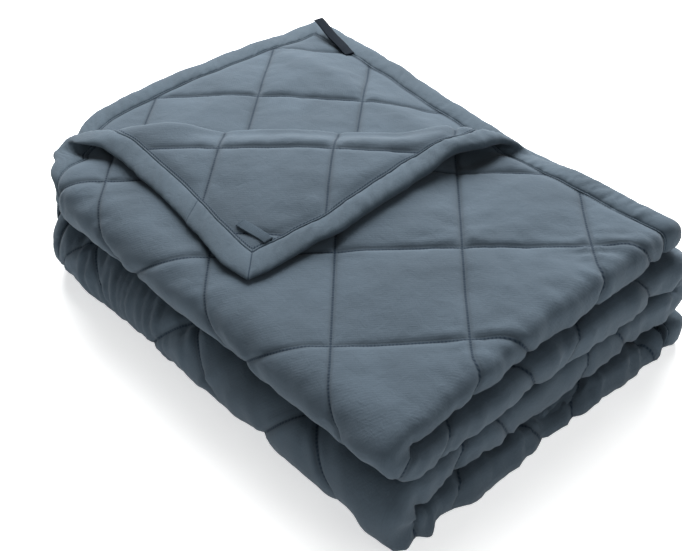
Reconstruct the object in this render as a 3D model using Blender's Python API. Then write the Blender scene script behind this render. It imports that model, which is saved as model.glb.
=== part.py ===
"""Weighted throw blanket, folded in half and then in quarters, one corner turned back.

The quilted sheet is laid out flat in (u, v, n): u runs along the length,
v across the width with 0 at the half fold, n is the distance off its middle
surface.  Every vertex is then carried through the same folds.  Metres, +Z up.
"""
import math

import bmesh
import bpy

# ---------------------------------------------------------------- sizes
LENGTH = 1.740              # laid out, along the quarter folds
TOP_HALF = 0.579            # half fold to the short edge, upper layers
UNDER_HALF = 0.618          # half fold to the short edge, under layers
LAYER_THICK = 0.0172        # full thickness of one filled layer
LAYER_OFFSET = 0.0096       # middle of a layer from the middle of its pair
DIAMOND_SIDE = 0.127        # quilting pitch, lines at 45 degrees
SEAM_HALF = 0.0044          # half thickness of the sheet on a quilting line
EDGE_HALF = 0.0029          # half thickness of the sheet inside the binding
BINDING_WIDTH = 0.030
BINDING_WALL = 0.0014
PIECE_GAP = 0.00045
GRID_STEP = DIAMOND_SIDE * math.sqrt(2.0) / 4.0

# quarter folds: y where each bend starts, radius of the pair's middle
LEFT_UPPER_Y = -0.161
LEFT_LOWER_Y = -0.167
RIGHT_Y = 0.211
LEFT_RADIUS = 0.0208
RIGHT_RADIUS = 0.0203
TOP_EDGE_Y = 0.2227         # free long edge of the top layer
UNDER_EDGE_Y = 0.2309       # free long edge of the layer below it
END_X = (0.282, 0.292, 0.291, 0.300)    # end fold of each pair, top to bottom
END_SQUARE = 3.0            # 2 is a round end fold, more is squarer
END_FILL, END_FILL_RUN = 0.095, 0.070   # the end folds are fuller, so they press together

# how far the cloth was turned when it was folded (slopes)
TOP_TURN = 0.0103
UNDER_TURN = 0.080
TOP_LEAN = 0.0183
UNDER_LEAN = 0.0397
LEAN_REACH = 0.42
SIDE_BLEND = 0.12           # either side of the half fold

# quilting: one crossing of the lines on the top layer
CROSS_U = 0.1874
CROSS_V = 0.1309
UNDER_SHIFT = 2.0 * GRID_STEP           # of the pattern, far side of the half fold

# turned back corner
CREASE_X = -0.1124
CREASE_Y = 0.0276
CREASE_ANGLE = math.radians(42.8)
CREASE_RADIUS = 0.0104
CREASE_CUTS = 8
CREASE_FLAT = 0.48          # how far the roll is pressed flat, along its middle
CREASE_FROM, CREASE_TO, CREASE_FADE = -0.135, 0.185, 0.065
CREASE_RUN = 0.034          # the pressing fades this far either side of the roll
TIP_PUFF, PUFF_FROM, PUFF_RUN = 0.50, -0.155, 0.060
TIP_PULL, TIP_FROM, TIP_RUN, TIP_FADE = 0.026, -0.150, 0.090, 0.022
# the turned corner's edges bow in and out: LEFT_BOW is the one along u, RIGHT_BOW the one along v
LEFT_BOW = (
    # along from the corner, edge bowed out, tape's inner side bowed out
    (0.000, 0.0002, 0.0030), (0.045, 0.0058, 0.0060), (0.090, 0.0024, 0.0050), (0.130, -0.0010, 0.0025),
    (0.170, -0.0032, 0.0010), (0.225, -0.0015, 0.0010), (0.290, 0.0, 0.0),
)
RIGHT_BOW = (
    (0.000, 0.0, 0.0), (0.035, 0.0045, 0.0010), (0.070, 0.0040, 0.0055), (0.110, 0.0080, 0.0110),
    (0.145, 0.0062, 0.0083), (0.192, 0.0036, 0.0045), (0.225, -0.0010, 0.0), (0.272, -0.0085, -0.0030),
    (0.325, 0.0, 0.0),
)
BOW_REACH = 0.080           # the bow dies away this far inside the tape
BOW_FADE = 0.040            # and this far before the crease

# settling of the stack
STACK_HEIGHT = 0.165
FLOOR_Z = 0.0011            # the lowest quilt pockets are pressed flat here
END_DROP, END_DROP_RUN = 0.109, 0.121
SIDE_DROP, SIDE_DROP_RUN = 0.162, 0.270
CORNER_RADIUS = 0.113
CORNER_X, CORNER_Y = -0.337, -0.200
CORNER_EASED, CORNER_EASE_Z, CORNER_EASE_RUN = 0.60, 0.135, 0.035   # less rounding at the top
FOLD_TUCK, FOLD_TUCK_Z, FOLD_TUCK_RUN = 0.0080, 0.123, 0.024        # more at the upper fold
UNDER_PULL = 0.052          # the inner layers draw in at the upper left fold
BACK_DROP, BACK_Y, BACK_RUN = 0.115, 0.170, 0.060
BACK_END_DROP = 0.025

# tape loops: u, v of the sewn end and of the folded end, rise of the folded end
LOOP_WIDTH = 0.011
LOOP_PLY = 0.0010
LOOP_SLIT = 0.0012
LOOPS = (
    # name, sewn u, sewn v, folded u, folded v, rise, colour name
    ("loop_front", 0.0312, 0.5297, 0.0702, 0.5368, 0.0004, "loop_grey"),
    ("loop_back", 0.0325, -0.5110, 0.0215, -0.5880, 0.0270, "loop_dark"),
)

COLOURS = (
    # name, red, green, blue, roughness
    ("cloth_slate", 0.115, 0.145, 0.175, 0.90),
    ("binding_slate", 0.105, 0.135, 0.165, 0.88),
    ("loop_grey", 0.100, 0.130, 0.155, 0.85),
    ("loop_dark", 0.012, 0.016, 0.028, 0.80),
)

HALF_PI = math.pi / 2.0


# ---------------------------------------------------------------- folding
def ease(t):
    t = min(1.0, max(0.0, t))
    return t * t * (3.0 - 2.0 * t)


def pair_heights():
    low = LAYER_OFFSET + LAYER_THICK / 2.0
    third = low + 2.0 * LEFT_RADIUS
    second = third + 2.0 * RIGHT_RADIUS
    return second + 2.0 * LEFT_RADIUS, second, third, low


def path_marks():
    """Path length of the pair's middle at the start and end of each bend."""
    marks = [-LEFT_UPPER_Y]
    marks.append(marks[-1] + math.pi * LEFT_RADIUS)
    marks.append(marks[-1] + RIGHT_Y - LEFT_UPPER_Y)
    marks.append(marks[-1] + math.pi * RIGHT_RADIUS)
    marks.append(marks[-1] + RIGHT_Y - LEFT_LOWER_Y)
    marks.append(marks[-1] + math.pi * LEFT_RADIUS)
    return marks


MARKS = path_marks()
TOP_Z, SECOND_Z, THIRD_Z, LOW_Z = pair_heights()


def chain(value, xs, ys):
    """Straight-line interpolation through a short list of points."""
    last = len(xs) - 2
    k = 0
    while k < last and value > xs[k + 1]:
        k += 1
    t = (value - xs[k]) / (xs[k + 1] - xs[k])
    return ys[k] + t * (ys[k + 1] - ys[k])


def path_table(side):
    """Cloth length against path length for the outer (+1) or inner (-1) layer."""
    outer = (LEFT_RADIUS + side * LAYER_OFFSET) / LEFT_RADIUS
    inner = (RIGHT_RADIUS - side * LAYER_OFFSET) / RIGHT_RADIUS
    start = -(TOP_EDGE_Y if side > 0 else UNDER_EDGE_Y)
    path = [start - 1.0, start] + MARKS + [MARKS[-1] + 2.0]
    rates = (1.0, 1.0, outer, 1.0, inner, 1.0, outer, 1.0)
    cloth = [-1.0]
    for k, rate in enumerate(rates):
        cloth.append(cloth[-1] + (path[k + 1] - path[k]) * rate)
    return cloth, path


OUTER_CLOTH, OUTER_PATH = path_table(1)
INNER_CLOTH, INNER_PATH = path_table(-1)


def on_path(s, w):
    """Path length s and offset w to y, z."""
    a, b, c, d, e, f = MARKS
    if s <= a:
        return -s, TOP_Z + w
    if s <= b:
        t = (s - a) / LEFT_RADIUS
        r = LEFT_RADIUS + w
        return LEFT_UPPER_Y - r * math.sin(t), (TOP_Z + SECOND_Z) / 2.0 + r * math.cos(t)
    if s <= c:
        return LEFT_UPPER_Y + (s - b), SECOND_Z - w
    if s <= d:
        t = (s - c) / RIGHT_RADIUS
        r = RIGHT_RADIUS - w
        return RIGHT_Y + r * math.sin(t), (SECOND_Z + THIRD_Z) / 2.0 + r * math.cos(t)
    if s <= e:
        return RIGHT_Y - (s - d), THIRD_Z + w
    if s <= f:
        t = (s - e) / LEFT_RADIUS
        r = LEFT_RADIUS + w
        return LEFT_LOWER_Y - r * math.sin(t), (THIRD_Z + LOW_Z) / 2.0 + r * math.cos(t)
    return LEFT_LOWER_Y + (s - f), LOW_Z - w


def folded_plan(u, v, n):
    """Flat cloth to x, path length and offset, with the half fold made."""
    upper = ease((v + SIDE_BLEND) / (2.0 * SIDE_BLEND))
    turn = TOP_TURN * upper + UNDER_TURN * (1.0 - upper)
    lean = TOP_LEAN * upper + UNDER_LEAN * (1.0 - upper)
    cloth = u + turn * v
    across = v - lean * min(u, LEAN_REACH)
    s = (chain(cloth, OUTER_CLOTH, OUTER_PATH) * upper
         + chain(cloth, INNER_CLOTH, INNER_PATH) * (1.0 - upper))
    end = END_X[0]
    for k in range(3):
        bend = MARKS[2 * k + 1] - MARKS[2 * k]
        end += (END_X[k + 1] - END_X[k]) * min(1.0, max(0.0, (s - MARKS[2 * k]) / bend))
    centre = end - (LAYER_OFFSET + LAYER_THICK / 2.0)
    phi = min(HALF_PI, max(-HALF_PI, across / LAYER_OFFSET))
    square = (math.cos(phi) ** END_SQUARE + abs(math.sin(phi)) ** END_SQUARE) ** (-1.0 / END_SQUARE)
    reach = (LAYER_OFFSET + n) * square * (1.0 + END_FILL * ease(1.0 - abs(across) / END_FILL_RUN))
    x = centre + reach * math.cos(phi) - max(abs(across) - HALF_PI * LAYER_OFFSET, 0.0)
    bunch = ease((s - 0.05) / 0.13) * ease((MARKS[1] + 0.06 - s) / 0.06) * ease((-0.20 - x) / 0.13)
    return x + UNDER_PULL * bunch * (1.0 - upper), s, reach * math.sin(phi)


def crease_plane():
    """Distance past the crease is gu * u + gv * v + g0 on the flat top layer."""
    nx, ny = -math.sin(CREASE_ANGLE), math.cos(CREASE_ANGLE)
    x0 = END_X[0] - LAYER_OFFSET - LAYER_THICK / 2.0 + HALF_PI * LAYER_OFFSET
    return (nx * TOP_LEAN - ny, -nx - ny * TOP_TURN,
            (x0 - CREASE_X) * nx + (TOP_EDGE_Y - CREASE_Y) * ny)


def bow_out(rows, along, inset):
    """How far a place near a turned edge is bowed out."""
    if along >= rows[-1][0] or inset >= BINDING_WIDTH + BOW_REACH:
        return 0.0
    k = 0
    while along > rows[k + 1][0]:
        k += 1
    t = ease((along - rows[k][0]) / (rows[k + 1][0] - rows[k][0]))
    edge = rows[k][1] + t * (rows[k + 1][1] - rows[k][1])
    side = rows[k][2] + t * (rows[k + 1][2] - rows[k][2])
    if inset < BINDING_WIDTH:
        return edge + (side - edge) * inset / BINDING_WIDTH
    return side * (1.0 - ease((inset - BINDING_WIDTH) / BOW_REACH))


def bowed(u, v):
    """The turned corner's edges aren't straight."""
    if v < 0.1 or u > 0.4:
        return u, v
    gu, gv, g0 = crease_plane()
    loose = ease((gu * u + gv * v + g0 - math.pi * CREASE_RADIUS) / BOW_FADE)
    return (u - loose * bow_out(RIGHT_BOW, TOP_HALF - v, u),
            v + loose * bow_out(LEFT_BOW, u, TOP_HALF - v))


def turn_corner(x, s, w):
    """Turn the top layer's corner back about the crease."""
    nx, ny = -math.sin(CREASE_ANGLE), math.cos(CREASE_ANGLE)
    e = (x - CREASE_X) * nx + (-s - CREASE_Y) * ny
    t = (x - CREASE_X) * ny - (-s - CREASE_Y) * nx
    beyond = max(-e, e - math.pi * CREASE_RADIUS, 0.0)
    # the roll is pressed flat along its middle and puffed at its left tip
    pressed = CREASE_FLAT * ease((t - CREASE_FROM) / CREASE_FADE) * ease((CREASE_TO - t) / CREASE_FADE)
    puffed = TIP_PUFF * ease((PUFF_FROM - t) / PUFF_RUN)
    thin = 1.0 - (pressed - puffed) * (1.0 - ease(beyond / CREASE_RUN))
    pull = TIP_PULL * ease((TIP_FROM - t) / TIP_RUN) * (1.0 - ease(beyond / TIP_FADE))
    x, s = x - pull * ny, s - pull * nx
    if e <= 0.0:
        return x, s, LAYER_OFFSET + thin * (w - LAYER_OFFSET)
    r = CREASE_RADIUS - (w - LAYER_OFFSET)
    steps = e / (math.pi * CREASE_RADIUS) * CREASE_CUTS
    if steps < CREASE_CUTS:
        # straight between the cuts, so every layer keeps its distance
        t0 = math.pi * int(steps) / CREASE_CUTS
        t1 = math.pi * (int(steps) + 1) / CREASE_CUTS
        f = steps - int(steps)
        moved = r * thin * (math.sin(t0) * (1.0 - f) + math.sin(t1) * f)
        rise = CREASE_RADIUS - r * (math.cos(t0) * (1.0 - f) + math.cos(t1) * f)
    else:
        moved = math.pi * CREASE_RADIUS - e
        rise = CREASE_RADIUS + r
    return x + (moved - e) * nx, s - (moved - e) * ny, LAYER_OFFSET + thin * rise


def settle(x, y, z):
    """Round the left corner in plan and let the free end and sides sink."""
    r = CORNER_RADIUS
    p = min(1.3, max(0.0, (CORNER_X + r - x) / r))
    q = min(1.3, max(0.0, (CORNER_Y + r - y) / r))
    r *= 1.0 - CORNER_EASED * ease((z - CORNER_EASE_Z) / CORNER_EASE_RUN)
    x, y = (x + p * (1.0 - math.sqrt(max(1.0 - q * q / 2.0, 0.05))) * r,
            y + q * (1.0 - math.sqrt(max(1.0 - p * p / 2.0, 0.05))) * r)
    tuck = (FOLD_TUCK * math.exp(-((z - FOLD_TUCK_Z) / FOLD_TUCK_RUN) ** 2)
            * ease((CORNER_Y + 0.05 - y) / 0.04) * ease((-0.20 - x) / 0.07))
    x, y = x + tuck, y + tuck
    back = BACK_DROP * ease((y - BACK_Y) / BACK_RUN) * ease((0.17 - x) / 0.12)
    drop = (END_DROP * ease((CORNER_X + END_DROP_RUN - x) / END_DROP_RUN)
            + SIDE_DROP * ease((CORNER_Y + SIDE_DROP_RUN - y) / SIDE_DROP_RUN)
            + back * (1.0 - 0.5 * ease((-0.24 - x) / 0.08))
            + BACK_END_DROP * ease((y - 0.06) / 0.10) * ease((-0.24 - x) / 0.08))
    return x, y, max(FLOOR_Z, z * (1.0 - drop * (z / STACK_HEIGHT) ** 2))


def place(u, v, n):
    u, v = bowed(u, v)
    x, s, w = folded_plan(u, v, n)
    if v > 0.1 and s < MARKS[0] + 0.05:
        x, s, w = turn_corner(x, s, w)
    y, z = on_path(s, w)
    return settle(x, y, z)


# ---------------------------------------------------------------- quilting
def seam_distance(u, v):
    """Distance to the nearest line of each of the two quilting families."""
    du, dv = u - CROSS_U, v - CROSS_V
    du -= UNDER_SHIFT * ease((-0.05 - v) / 0.25)
    out = []
    for across in ((du + dv) / math.sqrt(2.0), (du - dv) / math.sqrt(2.0)):
        k = across / DIAMOND_SIDE
        out.append(abs(k - round(k)) * DIAMOND_SIDE)
    return out


def half_thickness(u, v):
    inset = min(u, LENGTH - u, TOP_HALF - v, v + UNDER_HALF)
    if inset < BINDING_WIDTH + 0.002:
        return EDGE_HALF
    fill = 1.0
    for gap in seam_distance(u, v):
        fill *= 1.0 - (1.0 - min(1.0, 2.0 * gap / DIAMOND_SIDE)) ** 3
    full = SEAM_HALF + (LAYER_THICK / 2.0 - SEAM_HALF) * fill
    ramp = min(1.0, (inset - BINDING_WIDTH) / 0.022)
    return EDGE_HALF + (full - EDGE_HALF) * (1.0 - (1.0 - ramp) ** 2)


def spread(start, stop, step):
    count = max(1, int(math.ceil((stop - start) / step - 1e-6)))
    return [start + (stop - start) * k / count for k in range(count + 1)]


def merge_lines(fixed, loose, clearance):
    """Keep all the fixed lines and the loose ones that stand clear of them."""
    kept = list(fixed)
    for value in loose:
        if min(abs(value - other) for other in kept) > clearance:
            kept.append(value)
    return sorted(kept)


BEND_STEP = 0.0116
SHEET_INSET = BINDING_WALL + 0.0019 + 0.0010
STITCH_INSET = BINDING_WIDTH + 0.0005


def cloth_lines():
    """Lines of the flat mesh, along u and along v."""
    u_fixed = [SHEET_INSET, STITCH_INSET, LENGTH - STITCH_INSET, LENGTH - SHEET_INSET]
    for k in (1, 3, 5):
        low = min(chain(MARKS[k - 1], OUTER_PATH, OUTER_CLOTH), chain(MARKS[k - 1], INNER_PATH, INNER_CLOTH))
        high = max(chain(MARKS[k], OUTER_PATH, OUTER_CLOTH), chain(MARKS[k], INNER_PATH, INNER_CLOTH))
        u_fixed += spread(low, high + 0.5 * UNDER_TURN * UNDER_HALF, BEND_STEP)
    u_loose = [CROSS_U + k * GRID_STEP for k in range(-5, 40)]
    u_loose = [u for u in u_loose if STITCH_INSET + 0.012 < u < LENGTH - STITCH_INSET - 0.012]
    v_fixed = [-UNDER_HALF + SHEET_INSET, -UNDER_HALF + STITCH_INSET,
               TOP_HALF - STITCH_INSET, TOP_HALF - SHEET_INSET]
    v_fixed += spread(-HALF_PI * LAYER_OFFSET - 0.001, HALF_PI * LAYER_OFFSET + 0.0125, 0.0048)
    v_loose = [CROSS_V + k * GRID_STEP for k in range(-20, 14)]
    v_loose = [v for v in v_loose if -UNDER_HALF + STITCH_INSET + 0.012 < v < TOP_HALF - STITCH_INSET - 0.012]
    return merge_lines(u_fixed, u_loose, 0.009), merge_lines(v_fixed, v_loose, 0.012)


# ---------------------------------------------------------------- meshes
def crease_cuts(bm):
    """Cut the flat corner along lines parallel to the crease."""
    gu, gv, g0 = crease_plane()
    size = math.hypot(gu, gv)
    for k in range(CREASE_CUTS + 1):
        e = math.pi * CREASE_RADIUS * k / CREASE_CUTS
        t = (e - g0) / (size * size)
        bmesh.ops.bisect_plane(bm, geom=bm.verts[:] + bm.edges[:] + bm.faces[:], dist=2e-5,
                               plane_co=(gu * t, gv * t, 0.0), plane_no=(gu / size, gv / size, 0.0))


def finish_mesh(name, bm, colour, cut=True):
    if cut:
        crease_cuts(bm)
    bmesh.ops.triangulate(bm, faces=[f for f in bm.faces if len(f.verts) > 3])
    for vert in bm.verts:
        vert.co = place(*vert.co)
    bmesh.ops.recalc_face_normals(bm, faces=bm.faces[:])
    if bm.calc_volume(signed=True) < 0.0:
        bmesh.ops.reverse_faces(bm, faces=bm.faces[:])
    mesh = bpy.data.meshes.new(name)
    bm.to_mesh(mesh)
    bm.free()
    for poly in mesh.polygons:
        poly.use_smooth = True
    mesh.materials.append(colour)
    obj = bpy.data.objects.new(name, mesh)
    bpy.context.scene.collection.objects.link(obj)
    return obj


def add_triangles(bm, a, b, c, d, height):
    """Split a quad along a quilting line if one crosses it, else the fuller way."""
    on_line = 1.02 * SEAM_HALF
    if max(height[b], height[d]) < on_line:
        along = False
    elif max(height[a], height[c]) < on_line:
        along = True
    else:
        along = height[a] + height[c] > height[b] + height[d] + 1e-7
    if along:
        bm.faces.new((a, b, c))
        bm.faces.new((a, c, d))
    else:
        bm.faces.new((a, b, d))
        bm.faces.new((b, c, d))


def build_sheet(colour):
    us, vs = cloth_lines()
    bm = bmesh.new()
    height = {}
    faces = {}
    for side in (1.0, -1.0):
        rows = []
        for u in us:
            row = []
            for v in vs:
                h = half_thickness(u, v)
                vert = bm.verts.new((u, v, side * h))
                height[vert] = h
                row.append(vert)
            rows.append(row)
        faces[side] = rows
    for i in range(len(us) - 1):
        for j in range(len(vs) - 1):
            top, low = faces[1.0], faces[-1.0]
            add_triangles(bm, top[i][j], top[i + 1][j], top[i + 1][j + 1], top[i][j + 1], height)
            add_triangles(bm, low[i][j], low[i][j + 1], low[i + 1][j + 1], low[i + 1][j], height)
    last_u, last_v = len(us) - 1, len(vs) - 1
    ring = ([(i, 0) for i in range(last_u)] + [(last_u, j) for j in range(last_v)]
            + [(i, last_v) for i in range(last_u, 0, -1)] + [(0, j) for j in range(last_v, 0, -1)])
    for k, (i, j) in enumerate(ring):
        m, n = ring[(k + 1) % len(ring)]
        bm.faces.new((faces[1.0][i][j], faces[-1.0][i][j], faces[-1.0][m][n], faces[1.0][m][n]))
    return finish_mesh("quilted_sheet", bm, colour)


def build_binding(colour):
    """One folded tape round all four edges, mitred at the corners."""
    inner = EDGE_HALF + PIECE_GAP
    outer = inner + BINDING_WALL
    web = BINDING_WALL + 0.0019
    section = (
        # inset from the edge, offset off the middle surface
        (BINDING_WIDTH, outer), (0.0035, outer), (0.0, 0.0020), (0.0, -0.0020),
        (0.0035, -outer), (BINDING_WIDTH, -outer), (BINDING_WIDTH, -inner), (web, -inner),
        (web, inner), (BINDING_WIDTH, inner),
    )
    us, vs = cloth_lines()
    us = [u for u in us if STITCH_INSET - 1e-6 <= u <= LENGTH - STITCH_INSET + 1e-6]
    vs = [v for v in vs if -UNDER_HALF + STITCH_INSET - 1e-6 <= v <= TOP_HALF - STITCH_INSET + 1e-6]
    stations = [(0.0, -UNDER_HALF, 1.0, 1.0)]
    stations += [(u, -UNDER_HALF, 0.0, 1.0) for u in us]
    stations += [(LENGTH, -UNDER_HALF, -1.0, 1.0)]
    stations += [(LENGTH, v, -1.0, 0.0) for v in vs]
    stations += [(LENGTH, TOP_HALF, -1.0, -1.0)]
    stations += [(u, TOP_HALF, 0.0, -1.0) for u in reversed(us)]
    stations += [(0.0, TOP_HALF, 1.0, -1.0)]
    stations += [(0.0, v, 1.0, 0.0) for v in reversed(vs)]
    bm = bmesh.new()
    rings = [[bm.verts.new((u + a * du, v + a * dv, n)) for a, n in section] for u, v, du, dv in stations]
    for k, ring in enumerate(rings):
        after = rings[(k + 1) % len(rings)]
        for m in range(len(section)):
            n = (m + 1) % len(section)
            quad = [ring[m], ring[n], after[n], after[m]]
            skew = [vert.co.x - vert.co.y for vert in quad]
            if max(skew[0], skew[2]) < max(skew[1], skew[3]):
                quad = quad[1:] + quad[:1]
            bm.faces.new((quad[0], quad[1], quad[2]))
            bm.faces.new((quad[0], quad[2], quad[3]))
    return finish_mesh("edge_binding", bm, colour)


def cell_height(u, v, us, vs):
    """Highest the faceted sheet or the binding on it can stand at u, v."""
    if min(u, TOP_HALF - v, v + UNDER_HALF) < BINDING_WIDTH:
        return EDGE_HALF + PIECE_GAP + BINDING_WALL
    i = max(k for k in range(len(us) - 1) if us[k] <= u)
    j = max(k for k in range(len(vs) - 1) if vs[k] <= v)
    s = (u - us[i]) / (us[i + 1] - us[i])
    t = (v - vs[j]) / (vs[j + 1] - vs[j])
    a, b = half_thickness(us[i], vs[j]), half_thickness(us[i + 1], vs[j])
    c, d = half_thickness(us[i + 1], vs[j + 1]), half_thickness(us[i], vs[j + 1])
    one = a + s * (b - a) + t * (c - b) if s >= t else a + t * (d - a) + s * (c - d)
    two = a + s * (b - a) + t * (d - a) if s + t <= 1.0 else c + (1.0 - s) * (d - c) + (1.0 - t) * (b - c)
    return max(one, two)


def build_loop(name, u0, v0, u1, v1, rise, colour):
    """Tape folded on itself: two plies joined at the far end."""
    run = math.hypot(u1 - u0, v1 - v0)
    du, dv = (u1 - u0) / run, (v1 - v0) / run
    us, vs = cloth_lines()
    steps, fine = 8, 4
    under = []
    for k in range(steps * fine + 1):
        a = run * k / (steps * fine)
        under.append(max(cell_height(u0 + du * a - dv * e, v0 + dv * a + du * e, us, vs)
                         for e in (-0.5 * LOOP_WIDTH, -0.25 * LOOP_WIDTH, 0.0, 0.25 * LOOP_WIDTH, 0.5 * LOOP_WIDTH)))
    lower, upper = [], []
    for k in range(steps + 1):
        t = k / steps
        near = under[max(0, k * fine - fine + 1):k * fine + fine]
        seat = max(near) + PIECE_GAP + rise * t * t
        lower.append((t * run, seat))
        upper.append((t * run, seat + 2.0 * LOOP_PLY + LOOP_SLIT * (0.5 + 0.5 * t)))
    bulge = 0.5 * (lower[-1][1] + upper[-1][1])
    bm = bmesh.new()
    rings = []
    for edge in (-0.5 * LOOP_WIDTH, 0.5 * LOOP_WIDTH):
        def row(points, lift):
            return [bm.verts.new((u0 + du * a - dv * edge, v0 + dv * a + du * edge, -n - lift)) for a, n in points]
        low, low_in = row(lower, 0.0), row(lower, LOOP_PLY)
        top_in, top = row(upper, -LOOP_PLY), row(upper, 0.0)
        turn = row([(run + 0.0013, bulge - 0.0009), (run + 0.0013, bulge + 0.0009)], 0.0)
        for k in range(steps):
            bm.faces.new((low[k], low[k + 1], low_in[k + 1], low_in[k]))
            bm.faces.new((top_in[k], top_in[k + 1], top[k + 1], top[k]))
        for three in ((low[-1], turn[0], low_in[-1]), (low_in[-1], turn[0], turn[1]),
                      (low_in[-1], turn[1], top_in[-1]), (top_in[-1], turn[1], top[-1])):
            bm.faces.new(three)
        rings.append(low + turn + top[::-1] + top_in + low_in[::-1])
    count = len(rings[0])
    for k in range(count):
        m = (k + 1) % count
        bm.faces.new((rings[0][k], rings[0][m], rings[1][m], rings[1][k]))
    return finish_mesh(name, bm, colour, cut=False)


def main():
    for obj in list(bpy.data.objects):
        bpy.data.objects.remove(obj, do_unlink=True)
    colours = {}
    for name, red, green, blue, rough in COLOURS:
        mat = bpy.data.materials.new(name)
        mat.use_nodes = True
        shader = mat.node_tree.nodes["Principled BSDF"]
        shader.inputs["Base Color"].default_value = (red, green, blue, 1.0)
        shader.inputs["Roughness"].default_value = rough
        mat.diffuse_color = (red, green, blue, 1.0)
        colours[name] = mat
    pieces = [build_sheet(colours["cloth_slate"]), build_binding(colours["binding_slate"])]
    for name, u0, v0, u1, v1, rise, colour in LOOPS:
        pieces.append(build_loop(name, u0, v0, u1, v1, rise, colours[colour]))
    xs = [v.co.x for p in pieces for v in p.data.vertices]
    ys = [v.co.y for p in pieces for v in p.data.vertices]
    zs = [v.co.z for p in pieces for v in p.data.vertices]
    shift = (-(min(xs) + max(xs)) / 2.0, -(min(ys) + max(ys)) / 2.0, -min(zs))
    for piece in pieces:
        for vert in piece.data.vertices:
            vert.co.x += shift[0]
            vert.co.y += shift[1]
            vert.co.z += shift[2]


main()
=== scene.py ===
"""Weighted throw blanket: quilted body, edge binding and two tie loops.

Every cloth piece is laid out flat in (u, v, n), with u along the length, v
across the width and 0 at the half fold, and n off the cloth's middle surface.
It is then carried through the same folds as the solids it dresses.
"""
import math

import bpy
import mathutils
import numpy as np
from bpy.props import FloatProperty, FloatVectorProperty, PointerProperty
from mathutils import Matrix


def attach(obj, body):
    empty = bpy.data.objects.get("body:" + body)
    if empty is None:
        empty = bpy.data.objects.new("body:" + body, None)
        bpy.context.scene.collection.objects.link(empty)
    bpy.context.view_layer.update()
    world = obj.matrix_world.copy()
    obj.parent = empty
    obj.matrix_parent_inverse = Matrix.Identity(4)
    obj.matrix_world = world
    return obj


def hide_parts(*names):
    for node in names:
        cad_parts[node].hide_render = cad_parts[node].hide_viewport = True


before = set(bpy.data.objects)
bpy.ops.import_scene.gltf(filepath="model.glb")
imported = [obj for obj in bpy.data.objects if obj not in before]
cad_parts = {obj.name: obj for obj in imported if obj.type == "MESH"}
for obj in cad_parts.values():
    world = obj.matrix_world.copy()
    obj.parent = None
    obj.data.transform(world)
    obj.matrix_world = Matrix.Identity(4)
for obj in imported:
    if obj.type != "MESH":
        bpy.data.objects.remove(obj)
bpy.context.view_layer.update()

bl_info = {
    "name": "Weighted Throw Blanket",
    "version": (1, 0, 0),
    "blender": (4, 5, 0),
    "location": "View3D > Sidebar > Blanket",
    "description": "Builds a folded, quilted throw blanket with a bound edge and tie loops",
    "category": "Object",
}

# ---- the flat cloth
LENGTH = 1.740
TOP_HALF, UNDER_HALF = 0.579, 0.618  # its width above and below the half fold
POCKET_SIDE = 0.127
CROSS_U, CROSS_V = 0.1874, 0.1309  # where two lines of quilting cross
UNDER_SHIFT = POCKET_SIDE / math.sqrt(2.0)
SHIFT_FROM, SHIFT_RUN = -0.05, 0.25
TAPE_WIDTH = 0.030

# ---- the folds
HALF_PI = math.pi / 2.0
LAYER_THICK, LAYER_OFFSET = 0.0172, 0.0096  # one layer; its middle to its doubled panel's
LEFT_UPPER_Y, LEFT_LOWER_Y, RIGHT_Y = -0.161, -0.167, 0.211  # where the quarter folds begin to bend
LEFT_RADIUS, RIGHT_RADIUS = 0.0208, 0.0203
TOP_EDGE_Y, UNDER_EDGE_Y = 0.2227, 0.2309  # where the end at u = 0 lies, in the top half and the other
UPPER_LEFT, LOWER_LEFT = 0, 4  # the marks at which the two left folds start

# the half fold: where each doubled panel ends, from the top one down, and how fully it is filled
END_X = (0.282, 0.292, 0.291, 0.300)
END_SQUARE, END_PRESSED, PRESSED_RUN = 3.0, 1.2, 0.10  # the lower panels are pressed squarer
END_FILL, END_FILL_RUN = 0.095, 0.070

# the two halves are skewed a little against each other, and blend at the half fold
TOP_TURN, UNDER_TURN = 0.0103, 0.080
TOP_LEAN, UNDER_LEAN, LEAN_REACH = 0.0183, 0.0397, 0.42
SIDE_BLEND = 0.12
UNDER_PULL = 0.052  # the under half is drawn in at the upper left fold
PULL_S, PULL_S_RUN, PULL_PAST, PULL_X, PULL_X_RUN = 0.05, 0.13, 0.06, -0.20, 0.13

# the turned corner: its crease, pressed flat in its middle and puffed at its left tip
CREASE_X, CREASE_Y = -0.1124, 0.0276
CREASE_ANGLE = math.radians(42.8)
CREASE_RADIUS = 0.0104
CREASE_FLAT, CREASE_RUN = 0.48, 0.034
CREASE_FROM, CREASE_TO, CREASE_FADE = -0.135, 0.185, 0.065
TIP_PULL, TIP_FROM, TIP_RUN, TIP_REACH = 0.026, -0.150, 0.090, 0.022
TIP_PUFF, PUFF_FROM, PUFF_RUN = 0.50, -0.155, 0.060
CORNER_V, CORNER_U, CORNER_PATH = 0.1, 0.4, 0.05  # only cloth within these belongs to it

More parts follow.
